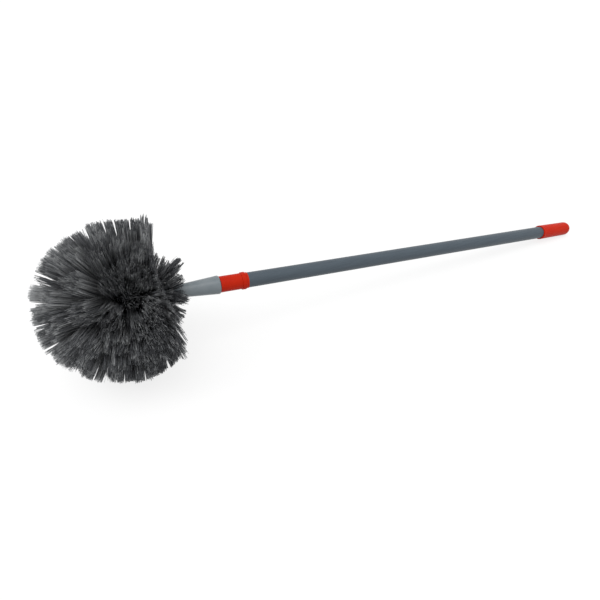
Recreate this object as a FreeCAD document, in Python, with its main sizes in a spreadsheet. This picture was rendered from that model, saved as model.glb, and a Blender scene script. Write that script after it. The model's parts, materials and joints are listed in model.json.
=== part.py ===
# Cobweb brush: a ball of bristle tufts, stapled into a moulded block that screws onto a two-section
# steel pole. The inner section slides out of the outer one and locks with a twist, because a split
# ring on an off-centre spindle then wedges inside the outer tube.
#
# Every piece is drawn along the pole. X runs from the middle of the block's front dome towards the grip
# cap: a place on it is called "along", and a distance from it "out". At the end the tool is laid on the
# floor, Z up, where it rests on its lowest tuft and on the domed end of its cap.
import FreeCAD, Part
import math
import os
import re
import Sketcher

Vector = FreeCAD.Vector
STEP = 20  # degrees from one ring of tufts to the next on the domes
UP, DOWN = 1, -1
CLOSE = 1e-4  # millimetres within which an edge is taken to be the one that is looked for

# Name, size in millimetres or degrees, and what it measures.
SIZES = [
    ("ball_radius", 105, "corners of the trimmed tufts, from the middle of the block"),
    ("back_reach", 72, "corners of the short tufts round the neck, from the middle of the back dome"),
    ("tuft_gap", 8, "between neighbouring tufts where they are trimmed"),
    ("hole_radius", 2.2, "drilled tuft hole"),
    ("hole_depth", 9, "drilled tuft hole"),
    ("tuft_clearance", 0.1, "between a tuft's corners and its hole"),
    ("fold_height", 1.2, "bristles folded under the staple"),
    ("staple_width", 2, "flat wire, along the hole"),
    ("staple_thickness", 0.5, "flat wire, across the hole"),
    ("staple_clearance", 0.1, "round the staple, in its tuft and in its hole"),
    ("core_radius", 28, "round part of the block, which carries the tufts"),
    ("core_length", 28, "middle of the front dome to the middle of the back dome"),
    ("neck_radius", 7.5, "thin end of the socket's cone, at the back dome"),
    ("socket_mouth", 128, "middle of the front dome to the mouth of the socket"),
    ("socket_wall", 4.05, "socket at its mouth"),
    ("socket_rounding", 2, "outer edge of the mouth"),
    ("thread_radius", 9, "outside of the screw tip"),
    ("thread_length", 33, "screw tip inside the socket"),
    ("thread_end_gap", 1, "end of the screw tip to the bottom of the socket"),
    ("thread_clearance", 0.2, "between the screw tip and the socket"),
    ("thread_lead_in", 1.5, "cone on the end of the screw tip"),
    ("tip_shoulder", 3, "flange of the screw tip, on the end of the inner tube"),
    ("tip_plug", 30, "screw tip inside the inner tube"),
    ("tube_wall", 0.5, "both steel tubes"),
    ("inner_tube_radius", 9.5, "outside"),
    ("inner_tube_length", 634, "cut length"),
    ("pole_room", 35.1, "snap head to the end of the outer tube, with the pole pushed right in"),
    ("plug_clearance", 0.05, "between a tube and a moulding pressed into it or onto it"),
    ("slide_clearance", 0.3, "between the inner tube and the collar that guides it"),
    ("collar_gap", 0.5, "socket to collar, with the pole pushed right in"),
    ("collar_wall", 1.65, "nose of the collar"),
    ("collar_nose", 40.5, "collar in front of the outer tube"),
    ("collar_rounding", 0.8, "front edge of the collar"),
    ("spigot_wall", 0.65, "collar inside the outer tube"),
    ("spigot_length", 30, "collar inside the outer tube"),
    ("bead_height", 1.1, "ring near the back of the nose, above the nose"),
    ("bead_width", 6.5, "ring near the back of the nose"),
    ("bead_rounding", 1, "edges of the ring"),
    ("bead_rim", 3, "plain rim of the nose behind the ring"),
    ("spindle_plug", 30, "lock spindle inside the inner tube"),
    ("spindle_shoulder", 3, "flange of the lock spindle, on the end of the inner tube"),
    ("journal_radius", 6, "off-centre journal that the lock ring turns on"),
    ("journal_offset", 0.5, "journal from the middle of the pole"),
    ("journal_clearance", 0.05, "between the journal and the lock ring"),
    ("lock_length", 20, "lock ring"),
    ("lock_clearance", 0.26, "between the lock ring and the outer tube, unlocked"),
    ("lock_end_play", 0.2, "at each end of the lock ring"),
    ("lock_slit", 2, "split through the thin side of the lock ring"),
    ("head_lip", 1, "snap head above the journal"),
    ("head_length", 5, "snap head that keeps the lock ring on"),
    ("head_slot", 1.6, "slot that lets the snap head spring together"),
    ("head_slot_depth", 14, "slot, from the end of the snap head"),
    ("cap_lip_wall", 2.15, "grip cap at its open end"),
    ("cap_end_wall", 1.55, "grip cap where its dome starts"),
    ("cap_grip", 60, "grip cap over the outer tube"),
    ("cap_floor", 7.4, "end of the outer tube to the start of the dome"),
    ("cap_rounding", 0.8, "edge of the open end"),
]
NAMES = {name for name, _, _ in SIZES}

# Distances out from the middle of the pole.
SOCKET_BORE = "(thread_radius + thread_clearance)"
INNER_BORE = "(inner_tube_radius - tube_wall)"
INNER_PLUG = f"({INNER_BORE} - plug_clearance)"
COLLAR_BORE = "(inner_tube_radius + slide_clearance)"
COLLAR_NOSE = f"({COLLAR_BORE} + collar_wall)"
SPIGOT = f"({COLLAR_BORE} + spigot_wall)"
OUTER_BORE = f"({SPIGOT} + plug_clearance)"
OUTER_TUBE = f"({OUTER_BORE} + tube_wall)"
CAP_BORE = f"({OUTER_TUBE} + plug_clearance)"
DOME = f"({CAP_BORE} + cap_end_wall)"

# Distances along a tuft, from the point on the pole's axis that it stands out from, and a tuft's width.
HOLE_BOTTOM = "(core_radius - hole_depth)"
TUFT_ROOT = "(hole_radius - tuft_clearance)"

# Places along the pole.
TIP_FRONT = "(socket_mouth - thread_length)"
SOCKET_BOTTOM = f"({TIP_FRONT} - thread_end_gap)"
INNER_FRONT = "(socket_mouth + tip_shoulder)"
INNER_BACK = f"({INNER_FRONT} + inner_tube_length)"
COLLAR_FRONT = "(socket_mouth + collar_gap)"
OUTER_FRONT = f"({COLLAR_FRONT} + collar_nose)"
JOURNAL_FRONT = f"({INNER_BACK} + spindle_shoulder)"
HEAD_FRONT = f"({JOURNAL_FRONT} + lock_length + 2 * lock_end_play)"
HEAD_BACK = f"({HEAD_FRONT} + head_length)"
OUTER_BACK = f"({HEAD_BACK} + pole_room)"
DOME_MIDDLE = f"({OUTER_BACK} + cap_floor)"

# Each ring of tufts: its name, the place on the axis that its tufts stand out from, their angle from the
# front of the axis, which way the first one points, how many there are, how far they reach, and the share
# of the full width that they fan out to. The two rings on the straight part of the block stand closer
# together, so they fan less. The last two are cut short, which leaves the notch behind the ball.
RINGS = [
    ("tuft_front", "0", 0, UP, 1, "ball_radius", 1),
    ("tuft_ring_1", "0", STEP, DOWN, 6, "ball_radius", 1),
    ("tuft_ring_2", "0", 2 * STEP, UP, 11, "ball_radius", 1),
    ("tuft_ring_3", "0", 3 * STEP, DOWN, 15, "ball_radius", 1),
    ("tuft_ring_4", "0", 4 * STEP, UP, 17, "ball_radius", 1),
    ("tuft_ring_5", "(core_length / 3)", 87, DOWN, 17, "ball_radius", 0.75),
    ("tuft_ring_6", "(core_length * 2 / 3)", 93, UP, 17, "ball_radius", 0.75),
    ("tuft_ring_7", "core_length", 5 * STEP, DOWN, 17, "ball_radius", 1),
    ("tuft_ring_8", "core_length", 6 * STEP, UP, 15, "back_reach", 1),
    ("tuft_ring_9", "core_length", 7 * STEP, UP, 11, "back_reach", 1),
]
FOOT_RING = RINGS[7]  # its lowest tuft touches the floor

doc = FreeCAD.newDocument("cobweb_brush")
sheet = doc.addObject("Spreadsheet::Sheet", "Sizes")
for row, (name, number, meaning) in enumerate(SIZES, start=1):
    sheet.set(f"A{row}", name)
    sheet.set(f"B{row}", str(number))
    sheet.setAlias(f"B{row}", name)
    sheet.set(f"C{row}", meaning)
doc.recompute()


def use(text):
    """The expression, with each size's bare name turned into a reference to the sheet."""
    return re.sub("[a-z_]+", lambda word: "Sizes." + word[0] if word[0] in NAMES else word[0], text)


def value(text):
    """What an expression comes to, as a plain number."""
    return float(sheet.evalExpression(use(text)))


def new_body(label):
    """An empty body, which may hold several separate solids, as a ring of tufts does."""
    body = doc.addObject("PartDesign::Body", label)
    body.Label = label
    body.AllowCompound = True
    return body


def origin(body, role):
    """One of the body's own planes or axes."""
    return next(feature for feature in body.Origin.OriginFeatures if feature.Role == role)


def new_sketch(body, role):
    """A sketch on one of the body's own planes."""
    sketch = body.newObject("Sketcher::SketchObject", "Sketch")
    sketch.AttachmentSupport = (origin(body, role), "")
    sketch.MapMode = "FlatFace"
    return sketch


def cross_sketch(body, along):
    """A sketch square to the pole."""
    sketch = new_sketch(body, "YZ_Plane")
    sketch.setExpression("AttachmentOffset.Base.z", use(along))
    return sketch


def bind(sketch, kind, *ends, to):
    """A constraint whose size follows an expression."""
    number = sketch.addConstraint(Sketcher.Constraint(kind, *ends, value(to)))
    sketch.setExpression(f"Constraints[{number}]", use(to))


def place_point(sketch, curve, end, along, out):
    """Fix a point of a curve by its distances from the sketch's axes, where they are given."""
    for kind, axis, distance in (("DistanceX", -2, along), ("DistanceY", -1, out)):
        if distance == "0":
            sketch.addConstraint(Sketcher.Constraint("PointOnObject", curve, end, axis))
        elif distance:
            bind(sketch, kind, -1, 1, curve, end, to=distance)


def draw_outline(sketch, corners):
    """A closed outline through corners, each given as (along, out).

    A corner given as (along, out, middle, radius) is reached by an arc instead of a line. The arc runs
    over the outside, from front to back, about a point on the axis. Where it ends off the axis, its
    radius settles the distance out, and where it ends on the axis, the place along.
    """
    spots = [Vector(value(corner[0]), value(corner[1])) for corner in corners]
    edges = []
    for number, corner in enumerate(corners):
        before = spots[number - 1]
        here = spots[number]
        if len(corner) == 2:
            edge = sketch.addGeometry(Part.LineSegment(before, here))
            edges.append((edge, 1, 2))
            continue
        middle = Vector(value(corner[2]), 0)
        circle = Part.Circle(middle, Vector(0, 0, 1), value(corner[3]))
        first = math.atan2(here.y, here.x - middle.x)
        last = math.atan2(before.y, before.x - middle.x)
        edge = sketch.addGeometry(Part.ArcOfCircle(circle, first, last))
        place_point(sketch, edge, 3, corner[2], "0")
        bind(sketch, "Radius", edge, to=corner[3])
        edges.append((edge, 2, 1))
    for number, corner in enumerate(corners):
        edge, _, end = edges[number]
        following = (number + 1) % len(corners)
        next_edge, next_start, _ = edges[following]
        sketch.addConstraint(Sketcher.Constraint("Coincident", edge, end, next_edge, next_start))
        along, out = corner[:2]
        if len(corner) > 2 or len(corners[following]) > 2:
            along, out = (None, out) if out == "0" else (along, None)
        place_point(sketch, edge, end, along, out)


def draw_circle(sketch, radius, up="0"):
    """A circle on the pole's axis, or straight above it."""
    circle = sketch.addGeometry(Part.Circle(Vector(0, value(up)), Vector(0, 0, 1), value(radius)))
    place_point(sketch, circle, 3, "0", up)
    bind(sketch, "Radius", circle, to=radius)


def draw_hexagon(sketch, radius):
    """A regular hexagon about the sketch's origin, with two corners level with it."""
    size = value(radius)
    circle = sketch.addGeometry(Part.Circle(Vector(), Vector(0, 0, 1), size), True)
    sketch.addConstraint(Sketcher.Constraint("Coincident", circle, 3, -1, 1))
    bind(sketch, "Radius", circle, to=radius)
    turns = [math.radians(60 * corner) for corner in range(7)]
    spots = [Vector(size * math.cos(turn), size * math.sin(turn)) for turn in turns]
    sides = [sketch.addGeometry(Part.LineSegment(*ends)) for ends in zip(spots, spots[1:])]
    for side, before in zip(sides, sides[-1:] + sides):
        sketch.addConstraint(Sketcher.Constraint("Coincident", before, 2, side, 1))
        sketch.addConstraint(Sketcher.Constraint("PointOnObject", side, 1, circle))
        if side != sides[0]:
            sketch.addConstraint(Sketcher.Constraint("Equal", sides[0], side))
    sketch.addConstraint(Sketcher.Constraint("PointOnObject", sides[0], 1, -1))


def turn(body, corners):
    """Revolve an outline about the pole."""
    sketch = new_sketch(body, "XZ_Plane")
    draw_outline(sketch, corners)
    feature = body.newObject("PartDesign::Revolution", "Turned")
    feature.Profile = sketch
    feature.ReferenceAxis = (sketch, ["H_Axis"])
    feature.Angle = 360


def pad(body, sketch, length, midplane=False):
    """Pull a sketch straight up, or both ways from its plane."""
    feature = body.newObject("PartDesign::Pad", "Pad")
    feature.Profile = sketch
    feature.Midplane = midplane
    feature.setExpression("Length", use(length))
    return feature


def cut_slot(body, sketch, length):
    """Cut a sketch out both ways from its plane, and make sure that it took something away."""
    doc.recompute()
    before = body.Shape.Volume
    feature = body.newObject("PartDesign::Pocket", "Slot")
    feature.Profile = sketch
    feature.Midplane = True
    feature.setExpression("Length", use(length))
    doc.recompute()
    if body.Shape.Volume >= before:
        raise RuntimeError(f"the slot in {body.Label} cuts nothing")
    return feature


def round_edges(body, radius, *circles):
    """Round the circular edges that lie at the given places, each (along, out)."""
    doc.recompute()
    base = body.Tip
    wanted = [(value(along), value(out)) for along, out in circles]
    names = []
    for number, edge in enumerate(base.Shape.Edges, start=1):
        if edge.Degenerated or not isinstance(edge.Curve, Part.Circle):
            continue
        found = (edge.Curve.Center.x, edge.Curve.Radius)
        if any(math.dist(found, spot) < CLOSE for spot in wanted):
            names.append(f"Edge{number}")
    if len(names) != len(circles):
        raise RuntimeError(f"{body.Label} has {len(names)} of the {len(circles)} edges to round")
    feature = body.newObject("PartDesign::Fillet", "Rounding")
    feature.Base = (base, names)
    feature.setExpression("Radius", use(radius))


def tip_radius(reach, fan):
    """Corner radius of a trimmed tuft: at its full width, a gap short of the next ring's tufts."""
    return f"({fan} * ({reach} * sin({STEP / 2}) - tuft_gap / 2))"


def trim_distance(reach, fan):
    """Distance along a tuft to its flat trimmed end, whose corners reach this far."""
    return f"sqrt({reach}^2 - {tip_radius(reach, fan)}^2)"


def ring_sketch(body, ring):
    """A sketch in the plane of the pole, whose first axis lies along a ring's first tuft."""
    _, apex, angle, side, *_ = ring
    sketch = new_sketch(body, "XZ_Plane")
    aim = FreeCAD.Rotation(Vector(0, 0, side), 180 - angle)
    sketch.AttachmentOffset = FreeCAD.Placement(Vector(), aim)
    sketch.setExpression("AttachmentOffset.Base.x", use(apex))
    return sketch


def tuft_section(body, ring, distance, radius):
    """A hexagon square to a ring's first tuft, at a distance along it."""
    _, apex, angle, side, *_ = ring
    sketch = new_sketch(body, "YZ_Plane")
    aim = FreeCAD.Rotation(Vector(-side, 0, 0), 180 - angle)
    sketch.AttachmentOffset = FreeCAD.Placement(Vector(), aim)
    sketch.setExpression("AttachmentOffset.Base.y", use(f"{side} * {distance} * sin({angle})"))
    sketch.setExpression("AttachmentOffset.Base.z", use(f"{apex} - {distance} * cos({angle})"))
    draw_hexagon(sketch, radius)
    return sketch


def repeat_round(body, ring, *features):
    """Copy a ring's first features round the pole."""
    count = ring[4]
    if count == 1:
        return
    pattern = body.newObject("PartDesign::PolarPattern", "Round")
    pattern.Originals = list(features)
    pattern.Axis = (origin(body, "X_Axis"), [""])
    pattern.Angle = 360
    pattern.Occurrences = count
    body.Tip = pattern


def staple_outline(clearance):
    """The staple's outline on a ring sketch, with room all round it."""
    near = f"({HOLE_BOTTOM} + fold_height + staple_clearance - {clearance})"
    far = f"({HOLE_BOTTOM} + fold_height + staple_clearance + staple_width + {clearance})"
    half = f"(staple_thickness / 2 + {clearance})"
    return [(near, f"-{half}"), (far, f"-{half}"), (far, half), (near, half)]


def make_brush_block():
    """One moulding: the drilled core, and the cone with the screw socket."""
    body = new_body("brush_block")
    socket = f"({SOCKET_BORE} + socket_wall)"
    neck = "core_length + sqrt(core_radius^2 - neck_radius^2)"
    turn(body, [
        ("-core_radius", "0"),
        ("0", "core_radius", "0", "core_radius"),
        ("core_length", "core_radius"),
        (neck, "neck_radius", "core_length", "core_radius"),
        ("socket_mouth", socket),
        ("socket_mouth", SOCKET_BORE),
        (SOCKET_BOTTOM, SOCKET_BORE),
        (SOCKET_BOTTOM, "0"),
    ])
    round_edges(body, "socket_rounding", ("socket_mouth", socket))
    for ring in RINGS:
        drill_ring(body, ring)


def drill_ring(body, ring):
    """The holes for one ring of tufts, drilled towards the pole's axis."""
    doc.recompute()
    before = body.Shape.Volume
    sketch = ring_sketch(body, ring)
    draw_outline(sketch, [
        (HOLE_BOTTOM, "0"),
        (HOLE_BOTTOM, "hole_radius"),
        ("core_radius + hole_radius", "hole_radius"),
        ("core_radius + hole_radius", "0"),
    ])
    hole = body.newObject("PartDesign::Groove", "Hole")
    hole.Profile = sketch
    hole.ReferenceAxis = (sketch, ["H_Axis"])
    hole.Angle = 360
    repeat_round(body, ring, hole)
    doc.recompute()
    if body.Shape.Volume >= before:
        raise RuntimeError(f"the holes of {ring[0]} cut nothing")


def make_tufts(ring):
    """A ring of tufts, each straight in its hole and spreading from there to the trimmed tip."""
    label, *_, reach, fan = ring
    body = new_body(label)
    loft = body.newObject("PartDesign::AdditiveLoft", "Bristles")
    loft.Profile = tuft_section(body, ring, HOLE_BOTTOM, TUFT_ROOT)
    loft.Sections = [
        tuft_section(body, ring, "core_radius", TUFT_ROOT),
        tuft_section(body, ring, trim_distance(reach, fan), tip_radius(reach, fan)),
    ]
    loft.Ruled = True
    body.Tip = loft
    sketch = ring_sketch(body, ring)
    draw_outline(sketch, staple_outline("staple_clearance"))
    slot = cut_slot(body, sketch, "2 * hole_radius")
    repeat_round(body, ring, loft, slot)


def make_staples():
    """The flat wire staples that hold the folded bristles at the bottom of the holes."""
    body = new_body("tuft_staples")
    for ring in RINGS:
        sketch = ring_sketch(body, ring)
        draw_outline(sketch, staple_outline("0"))
        staple = pad(body, sketch, "2 * (hole_radius - staple_clearance)", midplane=True)
        repeat_round(body, ring, staple)


def make_screw_tip():
    """The moulded tip in the front of the inner tube, which the socket screws onto."""
    body = new_body("screw_tip")
    plug_back = f"{INNER_FRONT} + tip_plug"
    turn(body, [
        (TIP_FRONT, "0"),
        (TIP_FRONT, "thread_radius - thread_lead_in"),
        (f"{TIP_FRONT} + thread_lead_in", "thread_radius"),
        ("socket_mouth", "thread_radius"),
        ("socket_mouth", "inner_tube_radius"),
        (INNER_FRONT, "inner_tube_radius"),
        (INNER_FRONT, INNER_PLUG),
        (plug_back, INNER_PLUG),
        (plug_back, "0"),
    ])


def make_tube(label, front, length, radius, bore):
    """A plain steel tube."""
    body = new_body(label)
    sketch = cross_sketch(body, front)
    draw_circle(sketch, radius)
    draw_circle(sketch, bore)
    pad(body, sketch, length)


def make_lock_spindle():
    """The plug in the back of the inner tube, with the off-centre journal and its split snap head."""
    body = new_body("lock_spindle")
    plug_front = f"{INNER_BACK} - spindle_plug"
    turn(body, [
        (plug_front, "0"),
        (plug_front, INNER_PLUG),
        (INNER_BACK, INNER_PLUG),
        (INNER_BACK, "inner_tube_radius"),
        (JOURNAL_FRONT, "inner_tube_radius"),
        (JOURNAL_FRONT, "0"),
    ])
    journal = cross_sketch(body, JOURNAL_FRONT)
    draw_circle(journal, "journal_radius", "journal_offset")
    pad(body, journal, f"{HEAD_FRONT} - {JOURNAL_FRONT}")
    head = cross_sketch(body, HEAD_FRONT)
    draw_circle(head, "journal_radius + head_lip", "journal_offset")
    pad(body, head, "head_length")
    slot = new_sketch(body, "XZ_Plane")
    slot_front = f"{HEAD_BACK} - head_slot_depth"
    draw_outline(slot, [
        (slot_front, "journal_offset - head_slot / 2"),
        (HEAD_BACK, "journal_offset - head_slot / 2"),
        (HEAD_BACK, "journal_offset + head_slot / 2"),
        (slot_front, "journal_offset + head_slot / 2"),
    ])
    cut_slot(body, slot, "2 * (journal_radius + head_lip)")


def make_lock_ring():
    """The split ring on the journal, round outside and bored off-centre."""
    body = new_body("lock_ring")
    front = f"({JOURNAL_FRONT} + lock_end_play)"
    outside = f"({OUTER_BORE} - lock_clearance)"
    section = cross_sketch(body, front)
    draw_circle(section, outside)
    draw_circle(section, "journal_radius + journal_clearance", "journal_offset")
    pad(body, section, "lock_length")
    slit = new_sketch(body, "XZ_Plane")
    draw_outline(slit, [
        (front, "journal_offset"),
        (f"{front} + lock_length", "journal_offset"),
        (f"{front} + lock_length", outside),
        (front, outside),
    ])
    cut_slot(body, slit, "lock_slit")


def make_collar():
    """The mouth collar: a nose that guides the inner tube, a bead, and a spigot in the outer tube."""
    body = new_body("mouth_collar")
    bead = f"({COLLAR_NOSE} + bead_height)"
    bead_back = f"({OUTER_FRONT} - bead_rim)"
    bead_front = f"({bead_back} - bead_width)"
    spigot_back = f"{OUTER_FRONT} + spigot_length"
    turn(body, [
        (COLLAR_FRONT, COLLAR_BORE),
        (COLLAR_FRONT, COLLAR_NOSE),
        (bead_front, COLLAR_NOSE),
        (bead_front, bead),
        (bead_back, bead),
        (bead_back, COLLAR_NOSE),
        (OUTER_FRONT, COLLAR_NOSE),
        (OUTER_FRONT, SPIGOT),
        (spigot_back, SPIGOT),
        (spigot_back, COLLAR_BORE),
    ])
    round_edges(body, "collar_rounding", (COLLAR_FRONT, COLLAR_NOSE))
    round_edges(body, "bead_rounding", (bead_front, bead), (bead_back, bead))


def make_grip_cap():
    """The long cap on the back of the outer tube, slightly tapered, with a domed end."""
    body = new_body("grip_cap")
    lip_along = f"({OUTER_BACK} - cap_grip)"
    lip = f"({CAP_BORE} + cap_lip_wall)"
    turn(body, [
        (lip_along, CAP_BORE),
        (lip_along, lip),
        (DOME_MIDDLE, DOME),
        (f"{DOME_MIDDLE} + {DOME}", "0", DOME_MIDDLE, DOME),
        (OUTER_BACK, "0"),
        (OUTER_BACK, CAP_BORE),
    ])
    round_edges(body, "cap_rounding", (lip_along, lip))


def lay_on_floor(bodies):
    """Tilt the whole tool about Y until its lowest tuft and its dome touch the floor, then centre it."""
    _, apex, angle, *_, reach, fan = FOOT_RING
    trim = trim_distance(reach, fan)
    half_flat = f"({tip_radius(reach, fan)} * cos(30))"
    foot_along = f"({apex} - {trim} * cos({angle}) - {half_flat} * sin({angle}))"
    foot_below = f"({trim} * sin({angle}) - {half_flat} * cos({angle}))"
    span = f"({DOME_MIDDLE} - {foot_along})"
    tilt = f"(atan2({foot_below}; {span}) - asin({DOME} / sqrt({span}^2 + {foot_below}^2)))"
    middle = f"(ball_radius - {DOME_MIDDLE} * cos({tilt}) - {DOME}) / 2"
    height = f"{foot_along} * sin({tilt}) + {foot_below} * cos({tilt})"
    tilted = FreeCAD.Placement(Vector(), FreeCAD.Rotation(Vector(0, 1, 0), value(tilt)))
    for body in bodies:
        body.Placement = tilted
        body.setExpression("Placement.Rotation.Angle", use(tilt))
        body.setExpression("Placement.Base.x", use(middle))
        body.setExpression("Placement.Base.z", use(height))


def check(bodies):
    """Stop before anything is written if a feature failed or a shape is not sound."""
    for item in doc.Objects:
        if {"Invalid", "Error"} & set(item.State):
            raise RuntimeError(f"{item.Label} failed: {item.State}")
        if item.TypeId == "Sketcher::SketchObject" and not item.FullyConstrained:
            raise RuntimeError(f"{item.Label} is not fully constrained")
    for body in bodies:
        if body.Shape.isNull() or not body.Shape.isValid():
            raise RuntimeError(f"{body.Label} has no sound shape")


make_brush_block()
for ring in RINGS:
    make_tufts(ring)
make_staples()
make_screw_tip()
make_tube("inner_tube", INNER_FRONT, "inner_tube_length", "inner_tube_radius", INNER_BORE)
make_lock_spindle()
make_lock_ring()
make_collar()
make_tube("outer_tube", OUTER_FRONT, f"{OUTER_BACK} - {OUTER_FRONT}", OUTER_TUBE, OUTER_BORE)
make_grip_cap()

subparts = [item for item in doc.Objects if item.TypeId == "PartDesign::Body"]
lay_on_floor(subparts)
doc.recompute()
check(subparts)
os.makedirs("parts", exist_ok=True)
for body in subparts:
    body.Shape.exportStep(f"parts/{body.Label}.step")
    print(f"{body.Label}: {len(body.Shape.Solids)} solids, {body.Shape.Volume:.1f} mm3")
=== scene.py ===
import json
import math
import random

import bmesh
import bpy
import numpy
from mathutils import Matrix, Vector


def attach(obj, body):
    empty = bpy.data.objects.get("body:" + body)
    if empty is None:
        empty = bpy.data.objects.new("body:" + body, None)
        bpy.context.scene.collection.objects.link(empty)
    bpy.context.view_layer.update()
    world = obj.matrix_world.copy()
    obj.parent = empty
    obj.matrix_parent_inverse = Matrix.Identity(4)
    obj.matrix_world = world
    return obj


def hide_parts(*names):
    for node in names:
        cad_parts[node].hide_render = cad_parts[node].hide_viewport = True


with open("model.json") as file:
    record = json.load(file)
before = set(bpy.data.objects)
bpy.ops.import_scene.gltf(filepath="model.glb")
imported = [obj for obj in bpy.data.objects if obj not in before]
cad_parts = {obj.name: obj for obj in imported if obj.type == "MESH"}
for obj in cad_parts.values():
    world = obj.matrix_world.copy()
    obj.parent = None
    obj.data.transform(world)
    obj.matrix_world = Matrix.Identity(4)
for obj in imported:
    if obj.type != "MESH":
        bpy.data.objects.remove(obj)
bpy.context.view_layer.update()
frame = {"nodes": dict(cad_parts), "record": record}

# The tool lies along its pole. Places on it are given in millimetres in the pole's own axes: X from the
# middle of the block's front dome towards the grip cap, Z up. POLE lays them in the row's frame, in metres.
# The mount for a clip gives it: its axis runs along the pole, and its place is known in both.
MM = 0.001
CLIP_PLACE = 468.75
CLIP = frame["record"]["mounts"][0]
ALONG = Vector(CLIP["axis"])
TILT = math.atan2(-ALONG.z, ALONG.x)
FRONT_DOME = Vector(CLIP["pos_m"]) - ALONG * CLIP_PLACE * MM
POLE = Matrix.Translation(FRONT_DOME) @ Matrix.Rotation(TILT, 4, "Y") @ Matrix.Scale(MM, 4)

# The photograph's camera: how far it is turned and tipped, the picture's axes, how far to the right of the
# middle of the front dome it stands, how far above it and how far back, and its lens in millimetres.
TURNED, TIPPED = math.radians(-24.78), math.radians(38.75)
RIGHT = Vector((math.cos(TURNED), math.sin(TURNED), 0))
FORWARD = Vector((
    -math.sin(TURNED) * math.cos(TIPPED), math.cos(TURNED) * math.cos(TIPPED), -math.sin(TIPPED),
))
ABOVE = RIGHT.cross(FORWARD)
EYE_RIGHT, EYE_UP, EYE_BACK = 0.2283, 0.0005, 0.5911
EYE = FRONT_DOME + RIGHT * EYE_RIGHT + ABOVE * EYE_UP - FORWARD * EYE_BACK
LENS = 27.6

random.seed(7605)


# Materials

# Sizes of the patterns in millimetres. The mould's grain and the spangle of the zinc are drawn coarser than
# the real ones, so that they show. DRAWN_OUT is how slowly the draw lines change along the tube.
FLOW_MARKS, MOULD_GRAIN = 18, 0.6
DRAW_LINES, ORANGE_PEEL = 2.5, 1.5
SPANGLE = 0.8
BUMP_HEIGHT = 0.1
DRAWN_OUT = 0.02


def linear(colour):
    """An sRGB hex colour as linear red, green, blue and alpha."""
    parts = [int(colour[place:place + 2], 16) / 255 for place in (1, 3, 5)]
    return [part / 12.92 if part <= 0.04045 else ((part + 0.055) / 1.055) ** 2.4 for part in parts] + [1.0]


def add(tree, kind, inputs=None, **settings):
    """Add a node with its settings. An input is a value, or the socket that feeds it."""
    node = tree.nodes.new("ShaderNode" + kind)
    for name, setting in settings.items():
        setattr(node, name, setting)
    for name, given in (inputs or {}).items():
        if isinstance(given, bpy.types.NodeSocket):
            tree.links.new(given, node.inputs[name])
        else:
            node.inputs[name].default_value = given
    return node


def start_material(name, **finish):
    """A new material with a bare node tree and its shader, whose sockets take the finish."""
    material = bpy.data.materials.new(name)
    material.use_nodes = True
    tree = material.node_tree
    tree.nodes.clear()
    sockets = {socket.replace("_", " "): given for socket, given in finish.items()}
    shader = add(tree, "BsdfPrincipled", sockets)
    add(tree, "OutputMaterial", {"Surface": shader.outputs["BSDF"]})
    return material, tree, shader


def set_stops(ramp, stops):
    """Give a colour ramp its stops: places with sRGB hex colours."""
    elements = ramp.color_ramp.elements
    while len(elements) < len(stops):
        elements.new(0.5)
    for element, (place, colour) in zip(elements, stops):
        element.position = place
        element.color = linear(colour)


def bristle_filament():
    """Extruded PVC filament, satin: an even dark grey at the root, and black to pale grey at the tip, where
    the paleness is partly worn ends and partly a painted highlight, the light that the tips catch. The map
    runs from root to tip one way, and from dark to pale filaments the other."""
    material, tree, shader = start_material(
        "extruded_pvc_filament", Roughness=0.5, IOR=1.53, Specular_IOR_Level=0.3)
    place = add(tree, "UVMap", uv_map="OFBake")
    split = add(tree, "SeparateXYZ", {0: place.outputs["UV"]})
    tips = add(tree, "ValToRGB", {0: split.outputs["Y"]})
    set_stops(tips, [(0.0, "#3c3e41"), (0.5, "#616366"), (1.0, "#b4b6b7")])
    roots = add(tree, "ValToRGB", {0: split.outputs["Y"]})
    set_stops(roots, [(0.0, "#494a4d"), (1.0, "#6e6f72")])
    # Paler towards the tip: partly worn ends, partly a painted highlight where the tips catch the light.
    worn_and_lit_tip = add(tree, "Math", {0: split.outputs["X"], 1: 2.2}, operation="POWER")
    colour = add(tree, "Mix", {0: worn_and_lit_tip.outputs[0], 6: roots.outputs[0], 7: tips.outputs[0]},
                 data_type="RGBA")
    tree.links.new(colour.outputs[2], shader.inputs["Base Color"])
    return material


def moulded(name, colours, roughness, shine):
    """Injection-moulded plastic: soft satin, with a fine grain from the mould and slight flow marks."""
    material, tree, shader = start_material(name, IOR=1.49, Specular_IOR_Level=shine)
    place = add(tree, "TexCoord")
    flow = add(tree, "TexNoise", {"Vector": place.outputs["Object"], "Scale": 1 / (FLOW_MARKS * MM),
                                  "Detail": 3.0})
    tint = add(tree, "ValToRGB", {0: flow.outputs[0]})
    set_stops(tint, [(0.3, colours[0]), (0.7, colours[1])])
    tree.links.new(tint.outputs[0], shader.inputs["Base Color"])
    gloss = add(tree, "MapRange", {0: flow.outputs[0], 3: roughness - 0.05, 4: roughness + 0.06})
    tree.links.new(gloss.outputs[0], shader.inputs["Roughness"])
    grain = add(tree, "TexNoise", {"Vector": place.outputs["Object"], "Scale": 1 / (MOULD_GRAIN * MM),
                                   "Detail": 2.0})
    bump = add(tree, "Bump", {"Strength": 0.12, "Distance": BUMP_HEIGHT * MM, "Height": grain.outputs[0]})
    tree.links.new(bump.outputs[0], shader.inputs["Normal"])
    return material


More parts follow.
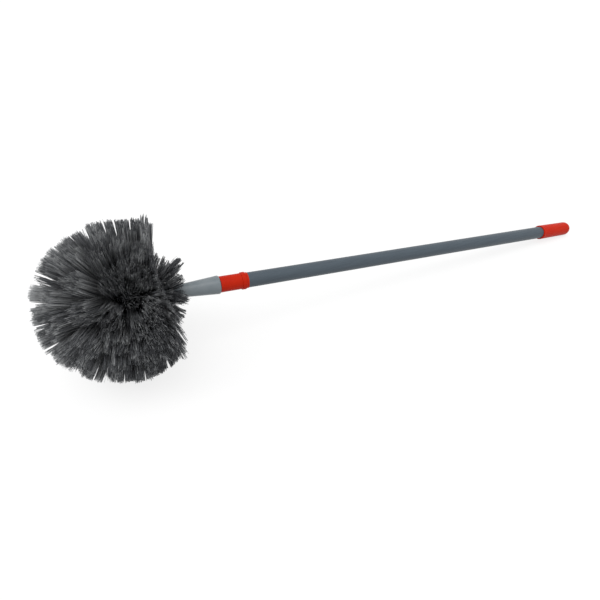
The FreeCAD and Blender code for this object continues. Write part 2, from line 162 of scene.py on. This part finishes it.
def painted_tube(name, colours, roughness):
    """Painted steel tube: even semi-gloss paint, with long faint draw lines and a slight orange peel."""
    material, tree, shader = start_material(name, IOR=1.5, Specular_IOR_Level=0.25)
    place = add(tree, "TexCoord")
    along = add(tree, "Mapping", {"Vector": place.outputs["Object"], "Rotation": (0.0, -TILT, 0.0),
                                  "Scale": (DRAWN_OUT, 1.0, 1.0)})
    lines = add(tree, "TexNoise", {"Vector": along.outputs[0], "Scale": 1 / (DRAW_LINES * MM), "Detail": 3.0})
    tint = add(tree, "ValToRGB", {0: lines.outputs[0]})
    set_stops(tint, [(0.3, colours[0]), (0.7, colours[1])])
    tree.links.new(tint.outputs[0], shader.inputs["Base Color"])
    gloss = add(tree, "MapRange", {0: lines.outputs[0], 3: roughness - 0.05, 4: roughness + 0.05})
    tree.links.new(gloss.outputs[0], shader.inputs["Roughness"])
    peel = add(tree, "TexNoise", {"Vector": place.outputs["Object"], "Scale": 1 / (ORANGE_PEEL * MM),
                                  "Detail": 1.0})
    bump = add(tree, "Bump", {"Strength": 0.08, "Distance": BUMP_HEIGHT * MM, "Height": peel.outputs[0]})
    tree.links.new(bump.outputs[0], shader.inputs["Normal"])
    return material


def staple_wire():
    """Galvanised flat steel wire: dull zinc with a soft spangle."""
    material, tree, shader = start_material("galvanised_steel_wire", Metallic=1.0)
    place = add(tree, "TexCoord")
    spangle = add(tree, "TexVoronoi", {"Vector": place.outputs["Object"], "Scale": 1 / (SPANGLE * MM)})
    tint = add(tree, "ValToRGB", {0: spangle.outputs["Distance"]})
    set_stops(tint, [(0.0, "#8f9396"), (1.0, "#b9bcbe")])
    tree.links.new(tint.outputs[0], shader.inputs["Base Color"])
    gloss = add(tree, "MapRange", {0: spangle.outputs["Distance"], 3: 0.35, 4: 0.5})
    tree.links.new(gloss.outputs[0], shader.inputs["Roughness"])
    return material


BRISTLE = bristle_filament()
GREY = moulded("moulded_grey_polypropylene", ("#6d767b", "#787f83"), roughness=0.32, shine=0.4)
RED = moulded("moulded_red_polypropylene", ("#ae1d05", "#b62306"), roughness=0.45, shine=0.1)
TIP = moulded("moulded_dark_polypropylene", ("#34373a", "#3c3f42"), roughness=0.45, shine=0.2)
ACETAL = moulded("moulded_natural_acetal", ("#d6d5cf", "#dddcd7"), roughness=0.38, shine=0.2)
SLATE_PAINT = painted_tube("slate_painted_steel", ("#424b53", "#48525a"), roughness=0.4)
PALE_PAINT = painted_tube("light_grey_painted_steel", ("#a3a8ab", "#abb0b3"), roughness=0.36)
WIRE = staple_wire()

for node, material in (
    ("brush_block", GREY), ("tuft_staples", WIRE), ("inner_tube", PALE_PAINT), ("lock_spindle", ACETAL),
    ("lock_ring", ACETAL), ("mouth_collar", RED), ("outer_tube", SLATE_PAINT), ("grip_cap", RED),
):
    mesh = frame["nodes"][node].data
    mesh.materials.clear()
    mesh.materials.append(material)


# Bristles

# The block's core, the angle between rings in degrees, and how many strands a full tuft has.
CORE_RADIUS, CORE_LENGTH = 28, 28
HOLE_DEPTH = 9
STEP = 20
UP, DOWN = 1, -1
FULL = 60

# Each ring of tufts: its node, the place on the pole that its tufts stand out from, their angle from the
# front, which way the first one points, how many there are, how far they are trimmed, how far they fan out
# round the pole and along it, and how many strands each one parts into.
RINGS = [
    ("tuft_front", 0, 0, UP, 1, 101.5, (17.0, 17.0), FULL),
    ("tuft_ring_1", 0, STEP, DOWN, 6, 101.5, (17.0, 17.0), FULL),
    ("tuft_ring_2", 0, 2 * STEP, UP, 11, 102.0, (17.0, 17.0), FULL),
    ("tuft_ring_3", 0, 3 * STEP, DOWN, 15, 103.0, (17.0, 17.0), FULL),
    ("tuft_ring_4", 0, 4 * STEP, UP, 17, 104.0, (17.0, 15.0), FULL),
    ("tuft_ring_5", 9.33, 87, DOWN, 17, 104.0, (17.0, 11.5), FULL),
    ("tuft_ring_6", 18.67, 93, UP, 17, 104.0, (17.0, 11.5), FULL),
    ("tuft_ring_7", CORE_LENGTH, 5 * STEP, DOWN, 17, 104.0, (17.0, 13.0), FULL),
    ("tuft_ring_8", CORE_LENGTH, 6 * STEP, UP, 15, 52.0, (11.0, 9.0), 10),
    ("tuft_ring_9", CORE_LENGTH, 7 * STEP, UP, 11, 64.0, (12.0, 12.0), 8),
]

# Single tufts that the photograph shows out of line: how much longer they are, how wide, how much paler, how
# far they hang down and how many strands they part into.
ODD_TUFTS = {
    ("tuft_front", 0): (-4.0, 0.7, 0.0, 4.0, FULL),
    ("tuft_ring_1", 1): (-4.0, 0.7, 0.0, 6.0, FULL),
    ("tuft_ring_1", 2): (-2.0, 0.6, 0.0, 6.0, FULL),
    ("tuft_ring_1", 3): (2.0, 0.53, 0.5, 6.0, FULL),
    ("tuft_ring_1", 4): (-3.0, 0.7, 0.0, 3.0, FULL),
    ("tuft_ring_2", 1): (0.0, 0.7, 0.0, 4.0, FULL),
    ("tuft_ring_3", 9): (0.0, 0.85, 0.0, -2.0, FULL),
    ("tuft_ring_3", 10): (0.0, 0.85, 0.0, 2.0, FULL),
    ("tuft_ring_4", 2): (0.0, 0.85, 0.0, -2.0, FULL),
    ("tuft_ring_4", 3): (0.0, 0.95, 0.0, 1.0, FULL),
    ("tuft_ring_5", 11): (0.0, 1.15, 0.0, 0.0, FULL),
    ("tuft_ring_5", 15): (-5.0, 1.0, 0.0, 0.0, FULL),
    ("tuft_ring_6", 6): (-5.0, 1.0, 0.0, 0.0, FULL),
    ("tuft_ring_6", 7): (-5.0, 1.0, 0.0, 0.0, FULL),
    ("tuft_ring_7", 7): (-4.0, 1.0, 0.0, 0.0, FULL),
    ("tuft_ring_7", 11): (0.0, 1.25, 0.0, 0.0, FULL),
    ("tuft_ring_7", 12): (0.0, 1.5, 0.0, 0.0, FULL),
    ("tuft_ring_7", 13): (0.0, 1.25, 0.0, 0.0, FULL),
    ("tuft_ring_7", 14): (-6.0, 1.0, 0.0, 0.0, FULL),
    ("tuft_ring_7", 15): (-6.0, 1.0, 0.0, 0.0, FULL),
    ("tuft_ring_8", 0): (14.0, 0.6, -0.1, 0.0, 10),
    ("tuft_ring_8", 12): (-6.0, 0.6, 0.0, 0.0, 8),
    ("tuft_ring_8", 13): (-5.0, 0.6, 0.0, 0.0, 8),
    ("tuft_ring_8", 14): (8.0, 0.35, -0.1, 0.0, 6),
    ("tuft_ring_9", 0): (4.0, 0.7, -0.1, 0.0, 10),
    ("tuft_ring_9", 1): (-6.0, 0.8, -0.2, 0.0, 30),
    ("tuft_ring_9", 2): (-9.0, 0.8, -0.2, 0.0, 40),
    ("tuft_ring_9", 3): (-3.0, 0.4, -0.2, -17.0, 40),
    ("tuft_ring_9", 4): (-14.0, 0.8, 0.0, 0.0, 10),
    ("tuft_ring_9", 5): (-14.0, 0.8, 0.0, 0.0, 10),
    ("tuft_ring_9", 6): (0.0, 1.0, 0.0, 12.0, 10),
    ("tuft_ring_9", 9): (4.0, 0.5, 0.0, 0.0, 8),
    ("tuft_ring_9", 10): (8.0, 0.5, -0.1, 0.0, 8),
}

# A tuft of many strands is a fine one, and one of few strands is coarse. For both kinds: how far a strand
# strays across the tuft, how unevenly strands are trimmed, how many filaments each one has and how far these
# stray.
FEW_STRANDS = 20
FINE = (1.2, 1.6, 6, 1.4)
COARSE = (3.0, 4.0, 18, 0.9)

# Some filaments are wild: their share, how far they stray and how unevenly they are cut short.
WILD_SHARE, WILD_STRAY, WILD_SHORT = 0.06, 4.0, 2.0

# How far tufts differ in size, in lean and in length, and filaments in length. Every tuft is trimmed a
# little, an upper one more and a lower one less. UPPER is the ball's upper side in the photograph.
TUFT_SIZE = (0.73, 1.0)
TUFT_LEAN = 2.2
TUFT_UNEVEN = 2.4
FILAMENT_UNEVEN = 0.5
TRIMMED, TRIMMED_ABOVE = 0.6, 2.6
UPPER = Vector((0.0, 0.59, 0.81))

# How much paler tufts, strands and filaments are at random, how much paler tufts are towards the front, which
# is painted light, and how much darker they are below, which is painted shade.
PALER_TUFT, PALER_STRAND, PALER_FILAMENT = 0.25, 0.75, 0.4
PAINTED_LIGHT_FRONT = 0.25
PAINTED_SHADE_BELOW = 0.22

# Strands are set out by the golden angle, in a square with round corners. A filament rises from above its
# staple, leaves its hole, flares out and runs on to its tip. STATIONS are these four places in the map.
GOLDEN_ANGLE = 2.39996
SQUARE = 0.8
THICKNESS = 0.5
ROOT_SPREAD = 1.6
STAPLE_ROOM = 2
MOUTH_GAP = 0.5
SWAY = 1.2
FLARE_PLACE, FLARE = 0.33, 0.8
STATIONS = (0.0, 0.1, 0.4, 1.0)
ROOT_THICK, TIP_THICK = 0.5, 0.75
FLOOR_GAP = 0.5
SHADE_STEP, SHADE_ROOM = 0.012, 0.96

# Tips of the ball's own tufts, which lean back less than the short ones, are pushed forwards where they pass
# an edge behind, so that the ball ends in a straight edge, as the photograph shows. The edge runs back on the
# far side and bulges on the near one.
BALL_LEAN = 0.3
BACK_EDGE = 30.0
EDGE_SLOPE = 0.42
NEAR_BULGE, BULGE_POWER = 40.0, 8
EDGE_SQUEEZE = 0.25

# The tufts part in places on the ball's outline: the bearing of each parting in the photograph, in degrees
# anticlockwise from its right, and half its width at the tips. Tips near the outline are combed aside, up to
# a distance from the parting.
PARTINGS = {
    83: 0.8, 93: 0.8, 104: 1.1, 111: 1.2, 124: 1.2, 134: 0.45, 165: 1.7, 183: 1.4, 197: 1.0, 212: 1.2,
    245: 0.8, 264: 0.6, 278: 0.8, 296: 1.5, 318: 1.8,
}
COMBED = 8.0
NEAR_OUTLINE = 0.78
MIDDLE = Vector((CORE_LENGTH / 2, 0, 0))
SIGHT = (MIDDLE - POLE.inverted() @ EYE).normalized()
PICTURE_RIGHT = SIGHT.cross(POLE.inverted().to_3x3() @ ABOVE).normalized()
PICTURE_UP = PICTURE_RIGHT.cross(SIGHT)


def scatter(size):
    """A random shift across a tuft."""
    return Vector((random.gauss(0, size), random.gauss(0, size), 0))


def tuft_axes(aim):
    """The axes of a tuft: round the pole, along it, and out to the tips."""
    around = Vector((1, 0, 0)).cross(aim)
    around = around.normalized() if around.length > 0.01 else Vector((0, -1, 0))
    return Matrix((around, aim.cross(around), aim)).transposed()


def square_off(aim, trim, end):
    """Push a tip of the ball forwards to the straight edge behind it."""
    edge = BACK_EDGE + EDGE_SLOPE * max(end.y, 0.0) + NEAR_BULGE * max(-end.y / trim, 0.0) ** BULGE_POWER
    if aim.x < BALL_LEAN and end.x > edge:
        end.x = edge + (end.x - edge) * EDGE_SQUEEZE
    return end


def comb(end):
    """Push a tip out of the partings. Each one runs away from the eye, through the middle of the ball."""
    reach = end - MIDDLE
    for bearing, parting in PARTINGS.items():
        turn = math.radians(bearing)
        outward = PICTURE_RIGHT * math.cos(turn) + PICTURE_UP * math.sin(turn)
        aside = SIGHT.cross(outward)
        off = reach.dot(aside)
        if abs(off) < COMBED and reach.dot(outward) > NEAR_OUTLINE * reach.length:
            end = end + aside * math.copysign(parting * (1 - abs(off) / COMBED), off)
    return end


def tuft_filaments(aim, foot, trim, fan, strands, pale, drop):
    """The filaments of one tuft, each as its points along the pole's axes and its shade."""
    across = tuft_axes(aim)
    stray, uneven, filaments, loose = FINE if strands > FEW_STRANDS else COARSE
    trim += random.gauss(0, TUFT_UNEVEN) - TRIMMED - TRIMMED_ABOVE * aim.dot(UPPER)
    size = random.uniform(*TUFT_SIZE)
    lean = scatter(TUFT_LEAN)
    turn = random.uniform(0, math.tau)
    # Painted light: tufts towards the front are made paler, as if lit from the front.
    pale += PALER_TUFT * random.random() + PAINTED_LIGHT_FRONT * max(-aim.x, 0.0)
    # Painted shade: tufts on the ball's lower side are made darker.
    pale += PAINTED_SHADE_BELOW * min(aim.dot(UPPER), 0.0)
    for strand in range(strands):
        way = turn + strand * GOLDEN_ANGLE
        root = Vector((math.cos(way), math.sin(way), 0))
        corner = max(abs(root.x), abs(root.y)) ** SQUARE
        root *= math.sqrt((strand + 0.5) / strands)
        middle = Vector((root.x * fan[0], root.y * fan[1], 0)) * size / corner
        middle += lean + scatter(stray)
        sway = across @ scatter(SWAY)
        strand_pale = pale + PALER_STRAND * random.random() ** 2
        strand_trim = trim + random.gauss(0, uneven)
        low = foot + across @ (root * ROOT_SPREAD)
        bottom = low + aim * (CORE_RADIUS - HOLE_DEPTH + STAPLE_ROOM)
        mouth = low + aim * (CORE_RADIUS + MOUTH_GAP)
        for _ in range(filaments):
            wild = random.random() < WILD_SHARE
            reach = strand_trim + random.gauss(0, FILAMENT_UNEVEN) - abs(random.gauss(0, WILD_SHORT)) * wild
            tip = across @ (middle + scatter(WILD_STRAY if wild else loose)) - Vector((0, 0, drop))
            end = foot + (aim * trim + tip).normalized() * reach
            end = comb(square_off(aim, trim, end))
            flare = mouth + (end - mouth) * FLARE_PLACE + tip * (FLARE - FLARE_PLACE) + sway
            yield [bottom, mouth, flare, end], strand_pale + PALER_FILAMENT * random.random()


def make_bristles(ring):
    """One ring of tufts as a mesh of filaments, each a bevelled spline with closed ends."""
    node, along, angle, first, count, trim, fan, strands = ring
    curve = bpy.data.curves.new("filaments", "CURVE")
    curve.dimensions = "3D"
    curve.bevel_depth = THICKNESS * MM / 2
    curve.bevel_resolution = 0
    curve.use_fill_caps = True
    foot = Vector((along, 0, 0))
    out = Vector((-math.cos(math.radians(angle)), 0, first * math.sin(math.radians(angle))))
    shades = []
    for number in range(count):
        aim = Matrix.Rotation(math.tau * number / count, 3, "X") @ out
        longer, wide, pale, drop, parts = ODD_TUFTS.get((node, number), (0.0, 1.0, 0.0, 0.0, strands))
        wide_fan = [half * wide for half in fan]
        for points, shade in tuft_filaments(aim, foot, trim + longer, wide_fan, parts, pale, drop):
            spline = curve.splines.new("POLY")
            spline.points.add(len(points) - 1)
            for point, place in zip(spline.points, points):
                point.co = [*(POLE @ place), 1.0]
                point.co.z = max(point.co.z, FLOOR_GAP * MM)
            spline.points[0].radius = ROOT_THICK
            spline.points[-1].radius = TIP_THICK
            shades.append(min(max(shade, 0.0), 1.0))
    drawn = bpy.data.objects.new("filaments", curve)
    mesh = bpy.data.meshes.new_from_object(drawn)
    bpy.data.objects.remove(drawn)
    bpy.data.curves.remove(curve)
    mesh.name = node.replace("tuft", "bristles")
    lay_shades(mesh, shades)
    mesh.materials.clear()
    mesh.materials.append(BRISTLE)
    piece = bpy.data.objects.new(mesh.name, mesh)
    bpy.context.scene.collection.objects.link(piece)
    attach(piece, "head")
    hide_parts(node)


def lay_shades(mesh, shades):
    """A UV map whose U runs from root to tip and whose V is the filament's shade. The closing ends of all
    the filaments come first in the mesh, eight points each, and then their sides, four points a station. The
    four points of a station differ a little in V, so that no face is folded up in the map."""
    corner = numpy.arange(4) * SHADE_STEP
    ends = numpy.repeat((0.0, 1.0), 4)
    sides = numpy.repeat(STATIONS, 4)
    shades = numpy.array(shades) * SHADE_ROOM
    along = numpy.concatenate([numpy.tile(ends, len(shades)), numpy.tile(sides, len(shades))])
    shade = numpy.concatenate([
        (shades[:, None] + numpy.tile(corner, 2)).ravel(),
        (shades[:, None] + numpy.tile(corner, len(STATIONS))).ravel(),
    ])
    vertices = numpy.empty(len(mesh.loops), dtype=numpy.int32)
    mesh.loops.foreach_get("vertex_index", vertices)
    layer = mesh.uv_layers[0]
    layer.name = "OFBake"
    layer.data.foreach_set("uv", numpy.column_stack([along[vertices], shade[vertices]]).ravel())


for ring in RINGS:
    make_bristles(ring)


# Screw thread

# Places along the pole, the radii of the tip, and its bevels.
TIP_FRONT, SHOULDER, TUBE_END, PLUG_END = 95, 128, 131, 161
TIP_CORE, TIP_SHOULDER, TIP_PLUG = 7.8, 9.5, 8.95
TIP_BEVEL, SHOULDER_BEVEL = 1.2, 0.3
PLUG_TAPER, PLUG_BEVEL = 1, 0.95

# The tip's thread is sunk a little into its core. The socket's thread points inwards, and starts some turns
# later.
TIP_CREST, SOCKET_FOOT, SOCKET_CREST = 9.0, 9.3, 8.05
SUNK = 0.1
PITCH = 4.0
FOOT_WIDTH, CREST_WIDTH = 0.6 * PITCH, 0.24 * PITCH
LEAD_IN, TIP_RUN_OUT, SOCKET_RUN_OUT = 2.5, 2.0, 4.0
LATER = 1.5
TURN_STEPS, THREAD_STEPS = 64, 32


def finish_piece(shape, name, material, body):
    """Turn a bmesh in the pole's axes into a piece that rides on a body."""
    bmesh.ops.remove_doubles(shape, verts=shape.verts, dist=0.001)
    bmesh.ops.recalc_face_normals(shape, faces=shape.faces)
    bmesh.ops.transform(shape, matrix=POLE, verts=shape.verts)
    mesh = bpy.data.meshes.new(name)
    shape.to_mesh(mesh)
    shape.free()
    mesh.materials.append(material)
    piece = bpy.data.objects.new(name, mesh)
    bpy.context.scene.collection.objects.link(piece)
    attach(piece, body)
    return piece


def turn_profile(shape, profile):
    """Spin a profile of (along, out) corners, which starts and ends on the pole's axis, once round it."""
    corners = [shape.verts.new((along, 0, out)) for along, out in profile]
    edges = [shape.edges.new(pair) for pair in zip(corners, corners[1:])]
    bmesh.ops.spin(shape, geom=corners + edges, cent=(0, 0, 0), axis=(1, 0, 0), dvec=(0, 0, 0),
                   angle=math.tau, steps=TURN_STEPS, use_merge=True)


def wind_thread(shape, front, back, foot, crest):
    """Wind a thread ridge between two places, from the radius of its foot to that of its crest."""
    turns = (back - front) / PITCH
    steps = round(turns * THREAD_STEPS)
    wide, thin = FOOT_WIDTH / 2, CREST_WIDTH / 2
    corners = [shape.verts.new((front + shift, 0, out)) for shift, out in (
        (-wide, foot), (-thin, crest), (thin, crest), (wide, foot))]
    face = shape.faces.new(corners)
    bmesh.ops.spin(shape, geom=[face], cent=(0, 0, 0), axis=(1, 0, 0), dvec=(PITCH / THREAD_STEPS, 0, 0),
                   angle=math.tau * turns, steps=steps, use_merge=False)


shape = bmesh.new()
turn_profile(shape, [
    (TIP_FRONT, 0), (TIP_FRONT, TIP_CORE - TIP_BEVEL), (TIP_FRONT + TIP_BEVEL, TIP_CORE),
    (SHOULDER, TIP_CORE), (SHOULDER, TIP_SHOULDER - SHOULDER_BEVEL),
    (SHOULDER + SHOULDER_BEVEL, TIP_SHOULDER), (TUBE_END, TIP_SHOULDER), (TUBE_END, TIP_PLUG),
    (PLUG_END - PLUG_TAPER, TIP_PLUG), (PLUG_END, TIP_PLUG - PLUG_BEVEL), (PLUG_END, 0),
])
wind_thread(shape, TIP_FRONT + LEAD_IN, SHOULDER - TIP_RUN_OUT, TIP_CORE - SUNK, TIP_CREST)
threaded_tip = finish_piece(shape, "threaded_tip", TIP, "extension")
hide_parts("screw_tip")

shape = bmesh.new()
socket_start = TIP_FRONT + LEAD_IN + PITCH * LATER
wind_thread(shape, socket_start, SHOULDER - SOCKET_RUN_OUT, SOCKET_FOOT, SOCKET_CREST)
finish_piece(shape, "socket_thread", GREY, "head")


# Floor, light and camera

# The floor's half width and its drop below the tool in metres, its grey, and the strength and share of the
# white that the eye sees on it. SENSOR is the camera's, in millimetres.
FLOOR_HALF, FLOOR_DROP = 15, 0.0003
FLOOR_GREY, FLOOR_GLOW, FLOOR_WHITE = 0.6, 1.15, 0.7
ROOM_LIGHT = 0.8
WHITE = (1.0, 1.0, 1.0, 1.0)
SENSOR = 36


def ray_share(tree, share):
    """A share of a white background that only camera, glossy and transmission rays see."""
    path = add(tree, "LightPath")
    seen = add(tree, "Math", {0: path.outputs["Is Camera Ray"], 1: path.outputs["Is Glossy Ray"]},
               operation="MAXIMUM")
    seen = add(tree, "Math", {0: seen.outputs[0], 1: path.outputs["Is Transmission Ray"]},
               operation="MAXIMUM")
    return add(tree, "Math", {0: seen.outputs[0], 1: share}, operation="MULTIPLY").outputs[0]


def lay_floor():
    """A pale floor under the tool, which keeps its shadow."""
    shape = bmesh.new()
    bmesh.ops.create_grid(shape, x_segments=1, y_segments=1, size=FLOOR_HALF)
    bmesh.ops.translate(shape, vec=(0, 0, -FLOOR_DROP), verts=shape.verts)
    mesh = bpy.data.meshes.new("floor")
    shape.to_mesh(mesh)
    shape.free()
    floor = bpy.data.objects.new("floor", mesh)
    bpy.context.scene.collection.objects.link(floor)
    material = bpy.data.materials.new("pale_floor")
    material.use_nodes = True
    tree = material.node_tree
    tree.nodes.clear()
    lit = add(tree, "BsdfDiffuse", {"Color": (FLOOR_GREY, FLOOR_GREY, FLOOR_GREY, 1.0)})
    white = add(tree, "Emission", {"Color": WHITE, "Strength": FLOOR_GLOW})
    both = add(tree, "MixShader", {0: ray_share(tree, FLOOR_WHITE), 1: lit.outputs[0], 2: white.outputs[0]})
    add(tree, "OutputMaterial", {"Surface": both.outputs[0]})
    mesh.materials.append(material)


def light_world():
    """A pale room: white to the eye, and an even soft light on the tool."""
    world = bpy.data.worlds.new("pale_room")
    world.use_nodes = True
    tree = world.node_tree
    tree.nodes.clear()
    room = add(tree, "Background", {"Color": WHITE, "Strength": ROOM_LIGHT})
    white = add(tree, "Background", {"Color": WHITE, "Strength": 1.0})
    both = add(tree, "MixShader", {0: ray_share(tree, 1.0), 1: room.outputs[0], 2: white.outputs[0]})
    add(tree, "OutputWorld", {"Surface": both.outputs[0]})
    bpy.context.scene.world = world


def hang_light(name, azimuth, elevation, strength, width):
    """A broad soft lamp, far off, that shines down from an azimuth and elevation in degrees."""
    lamp = bpy.data.lights.new(name, "SUN")
    lamp.energy = strength
    lamp.angle = math.radians(width)
    light = bpy.data.objects.new(name, lamp)
    light.rotation_euler = (math.radians(90 - elevation), 0, math.radians(azimuth))
    bpy.context.scene.collection.objects.link(light)


def set_camera():
    """A camera where the photograph's stood."""
    data = bpy.data.cameras.new("photo_camera")
    data.sensor_width = SENSOR
    data.lens = LENS
    camera = bpy.data.objects.new("photo_camera", data)
    camera.matrix_world = Matrix((RIGHT, ABOVE, -FORWARD)).transposed().to_4x4()
    camera.location = EYE
    bpy.context.scene.collection.objects.link(camera)
    bpy.context.scene.camera = camera


lay_floor()
light_world()
hang_light("key_light", azimuth=-100, elevation=52, strength=0.8, width=35)
hang_light("top_light", azimuth=-25, elevation=70, strength=1.25, width=40)
set_camera()
bpy.context.scene.view_settings.view_transform = "Standard"
